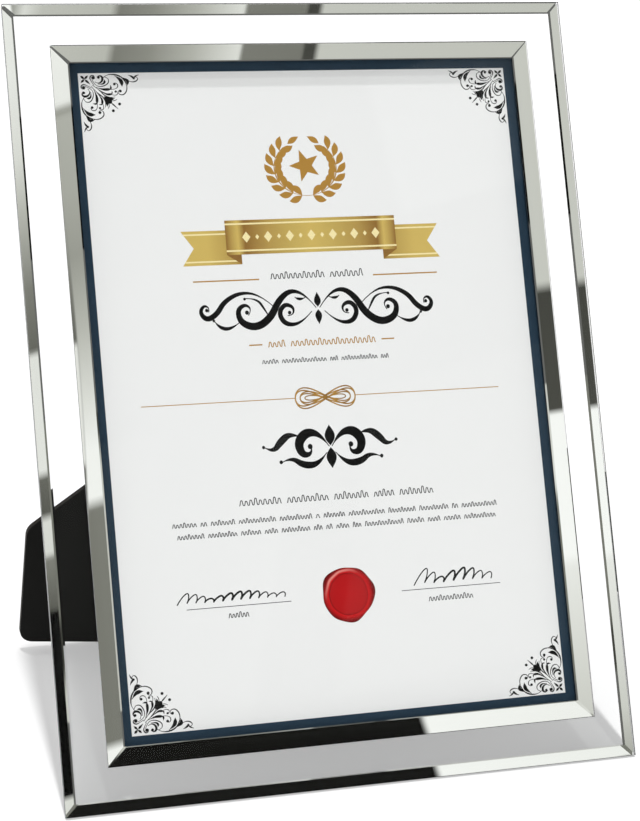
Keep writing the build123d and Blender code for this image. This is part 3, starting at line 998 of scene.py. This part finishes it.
# ---------------------------------------------------------------- stage
CAMERA_PLACE = (-0.31845, -0.93662, 0.27799)
CAMERA_FORWARD = (0.3067, 0.90966, -0.28009)
CAMERA_UP = (0.05651, 0.27635, 0.95939)
FOCAL_PIXELS = 2342.5
PICTURE_HEIGHT = 821
SENSOR = 36.0
OVERHEAD_BEAM, OVERHEAD_SPREAD = (0.06, 0.17, -1.0), 2
FRONT_SPREAD = 35
FLOOR_RADIUS = 9.0


def lay_floor(light):
    shape = bmesh.new()
    bmesh.ops.create_circle(shape, cap_ends=True, segments=96, radius=FLOOR_RADIUS)
    mesh = bpy.data.meshes.new("floor")
    shape.to_mesh(mesh)
    shape.free()
    floor = place_object("floor", mesh)
    material, tree = new_material("floor_paint")
    grain = noise(tree, add(tree, "ShaderNodeTexCoord").outputs["Object"], 30.0, 3.0)
    level = plus(tree, 0.995, times(tree, grain, 0.01))
    paint = add(tree, "ShaderNodeBsdfDiffuse", {"Color": scaled(tree, tuple(light.floor), level)})
    seen, _ = ray_seen(tree)
    glow = add(tree, "ShaderNodeEmission", {"Strength": times(tree, seen, light.lift)})
    both = add(tree, "ShaderNodeAddShader", {0: paint.outputs[0], 1: glow.outputs[0]})
    close(tree, both.outputs[0])
    material.cycles.emission_sampling = "NONE"
    floor.data.materials.append(material)


def banded(tree, value, stops):
    """A row of panels: brightness at each of a few angles. The darker a panel, the more olive it is."""
    low, high = stops[0][0], stops[-1][0]
    return ramp(tree, step(tree, value, low, high, "LINEAR"), [
        ((angle - low) / (high - low), (level, 1.01 * level, level * (0.86 + 0.13 * level)))
        for angle, level in stops])


# Brightness of the panels, by angle in degrees. Azimuth runs from straight in front of the frame towards the
# viewer's right, and height is above the floor.
TOP_PANELS = ((10.8, 0.18), (11.6, 0.28), (12.0, 0.74), (12.5, 0.54), (14.4, 0.50), (14.65, 0.21),
              (15.6, 0.27), (16.8, 0.46), (18.1, 0.76), (18.2, 0.20), (19.85, 0.19), (19.95, 0.05),
              (20.2, 0.06), (20.35, 0.58), (26.4, 0.56))
OUTER_LEFT_PANELS = ((16.6, 0.72), (17.4, 0.75), (17.5, 0.0), (21.8, 0.0), (21.95, 0.11), (23.1, 0.22),
                     (23.25, 0.72), (24.0, 0.74), (24.2, 0.10), (25.0, 0.14), (25.2, 0.82), (27.9, 0.80),
                     (28.05, 0.14), (29.5, 0.22), (31.3, 0.50), (32.5, 0.74), (34.4, 0.86), (36.5, 0.86))
INNER_LEFT_PANELS = ((17.0, 0.95), (18.3, 0.95), (18.5, 0.20), (24.0, 0.21), (24.3, 0.95), (25.4, 0.95),
                     (26.6, 0.76), (28.3, 0.50), (30.0, 0.34), (31.5, 0.42), (33.2, 0.46), (33.35, 0.32),
                     (33.55, 0.88), (36.5, 0.92))
RIGHT_PANELS = ((19.0, 0.38), (20.4, 0.64), (22.5, 0.77), (23.9, 0.86), (24.2, 1.0), (27.6, 1.0),
                (27.75, 0.07), (30.6, 0.06), (30.85, 0.60), (38.5, 0.60))
BOTTOM_PANELS = ((12.8, 0.006), (23.65, 0.004), (23.85, 0.97), (30.0, 0.90))
# Slant of the panels' edges: the height at which they stand at their azimuth, and the turn for each degree
# above it.
LEFT_SLANT, TOP_SLANT = (18.0, 0.3), (24.0, 0.4)
# Each row of panels: the measure across it with both its edges, the measure along it with its panels, and the
# measure that ends it, with both ends.
PANEL_ROWS = (
    ("slanted", 25.2, 27.5, "height", OUTER_LEFT_PANELS, "height", 16.0, 37.0),
    ("slanted", 27.6, 31.0, "height", INNER_LEFT_PANELS, "height", 16.0, 37.0),
    ("height", 20.5, 27.6, "leaning", TOP_PANELS, "slanted", 9.0, 25.0),
    ("azimuth", 6.5, 11.8, "height", RIGHT_PANELS, "height", 18.0, 39.5),
    ("height", 31.6, 34.9, "azimuth", BOTTOM_PANELS, "azimuth", 12.6, 29.8),
)
# Soft folds of grey everywhere else: brightness by the noise that makes them.
FOLDS = ((0.34, 0.12), (0.46, 0.34), (0.52, 0.48), (0.62, 0.78))
AHEAD = (0.14, 0.14, 0.135, 1)


def reflected_room(tree):
    """The light and dark panels of the room that the mirrored bevels show, in soft folds of grey."""
    direction = add(tree, "ShaderNodeTexCoord").outputs["Generated"]
    x, y, z = apart(tree, direction)
    azimuth = maths(tree, "DEGREES", maths(tree, "ARCTAN2", x, times(tree, y, -1.0)))
    height = maths(tree, "DEGREES", maths(tree, "ARCSINE", z))
    measures = {"azimuth": azimuth, "height": height}
    for name, (level, slant) in (("slanted", LEFT_SLANT), ("leaning", TOP_SLANT)):
        measures[name] = minus(tree, azimuth, times(tree, minus(tree, height, level), slant))
    folds = noise(tree, direction, 2.6, 1.0)
    room = ramp(tree, folds, [(place, (level,) * 3) for place, level in FOLDS])
    ahead = times(tree, between(tree, azimuth, 12.0, 29.5, 3.0), between(tree, height, 17.0, 38.0, 4.0))
    room = blend_colours(tree, ahead, room, AHEAD)
    for across, low, high, along, panels, ended, start, end in PANEL_ROWS:
        patch = times(tree, between(tree, measures[across], low, high, 0.1),
                      between(tree, measures[ended], start, end, 0.2))
        room = blend_colours(tree, patch, room, banded(tree, measures[along], panels))
    return room


def light_world(light):
    world = bpy.data.worlds.new("studio")
    bpy.context.scene.world = world
    world.use_nodes = True
    tree = world.node_tree
    tree.nodes.clear()
    room = reflected_room(tree)
    seen, path = ray_seen(tree)
    mirrored_ray = times(tree, seen, maths(tree, "GREATER_THAN", path["Glossy Depth"], 0.5))
    backdrop = blend_colours(tree, mirrored_ray, WHITE, room)
    tone = blend_colours(tree, seen, (light.sky,) * 3 + (1,), backdrop)
    background = add(tree, "ShaderNodeBackground", {"Color": tone, "Strength": 1.0})
    output = add(tree, "ShaderNodeOutputWorld")
    tree.links.new(background.outputs[0], output.inputs[0])


def hang_lamp(name, energy, spread, beam):
    """A distant lamp that shines along a beam, spread over an angle in degrees. Mirrors don't show it."""
    lamp = bpy.data.lights.new(name, "SUN")
    lamp.energy = energy
    lamp.angle = math.radians(spread)
    holder = place_object(name, lamp)
    holder.rotation_euler = Vector(beam).to_track_quat("-Z", "Y").to_euler()
    holder.visible_glossy = holder.visible_transmission = False


def place_camera():
    camera = bpy.data.cameras.new("camera")
    camera.sensor_width = SENSOR
    camera.lens = FOCAL_PIXELS / PICTURE_HEIGHT * SENSOR
    holder = place_object("camera", camera)
    forward = Vector(CAMERA_FORWARD).normalized()
    right = forward.cross(Vector(CAMERA_UP)).normalized()
    turn = Matrix((right, right.cross(forward), -forward)).transposed()
    holder.matrix_world = Matrix.Translation(BOARD.translation + Vector(CAMERA_PLACE)) @ turn.to_4x4()
    bpy.context.scene.camera = holder


class OBJECT_OT_set_stage(bpy.types.Operator):
    """Pale floor, soft light and the camera"""
    bl_idname = "certificate_frame.set_stage"
    bl_label = "Studio"

    def execute(self, context):
        light = context.scene.studio_light
        lay_floor(light)
        light_world(light)
        hang_lamp("overhead_lamp", light.lamp, OVERHEAD_SPREAD, OVERHEAD_BEAM)
        hang_lamp("front_lamp", light.fill, FRONT_SPREAD, CAMERA_FORWARD)
        place_camera()
        context.scene.view_settings.view_transform = "Standard"
        return {"FINISHED"}


PIECES = (OBJECT_OT_finish_glass, OBJECT_OT_finish_back, OBJECT_OT_print_border, OBJECT_OT_print_corners,
          OBJECT_OT_print_wreath, OBJECT_OT_print_ribbon, OBJECT_OT_print_flourishes, OBJECT_OT_print_lines,
          OBJECT_OT_print_knot, OBJECT_OT_print_pen_marks, OBJECT_OT_print_seal, OBJECT_OT_set_stage)


class VIEW3D_PT_certificate_frame(bpy.types.Panel):
    """Lists the sizes, colours and steps of the certificate frame"""
    bl_idname = "VIEW3D_PT_certificate_frame"
    bl_label = "Certificate frame"
    bl_space_type = "VIEW_3D"
    bl_region_type = "UI"
    bl_category = "Certificate frame"

    def draw(self, context):
        for settings in (context.scene.print_sizes, context.scene.frame_colours, context.scene.studio_light):
            box = self.layout.box()
            for name in settings.__annotations__:
                box.prop(settings, name)
        for piece in PIECES:
            self.layout.operator(piece.bl_idname)


CLASSES = (PrintSizes, FinishColours, StudioLight, *PIECES, VIEW3D_PT_certificate_frame)
SETTINGS = (("print_sizes", PrintSizes), ("frame_colours", FinishColours), ("studio_light", StudioLight))


def register():
    for kind in CLASSES:
        bpy.utils.register_class(kind)
    for name, kind in SETTINGS:
        setattr(bpy.types.Scene, name, bpy.props.PointerProperty(type=kind))


def unregister():
    for name, _ in SETTINGS:
        delattr(bpy.types.Scene, name)
    for kind in reversed(CLASSES):
        bpy.utils.unregister_class(kind)


def main():
    register()
    for piece in PIECES:
        family, name = piece.bl_idname.split(".")
        getattr(getattr(bpy.ops, family), name)()


if __name__ == "__main__":
    main()
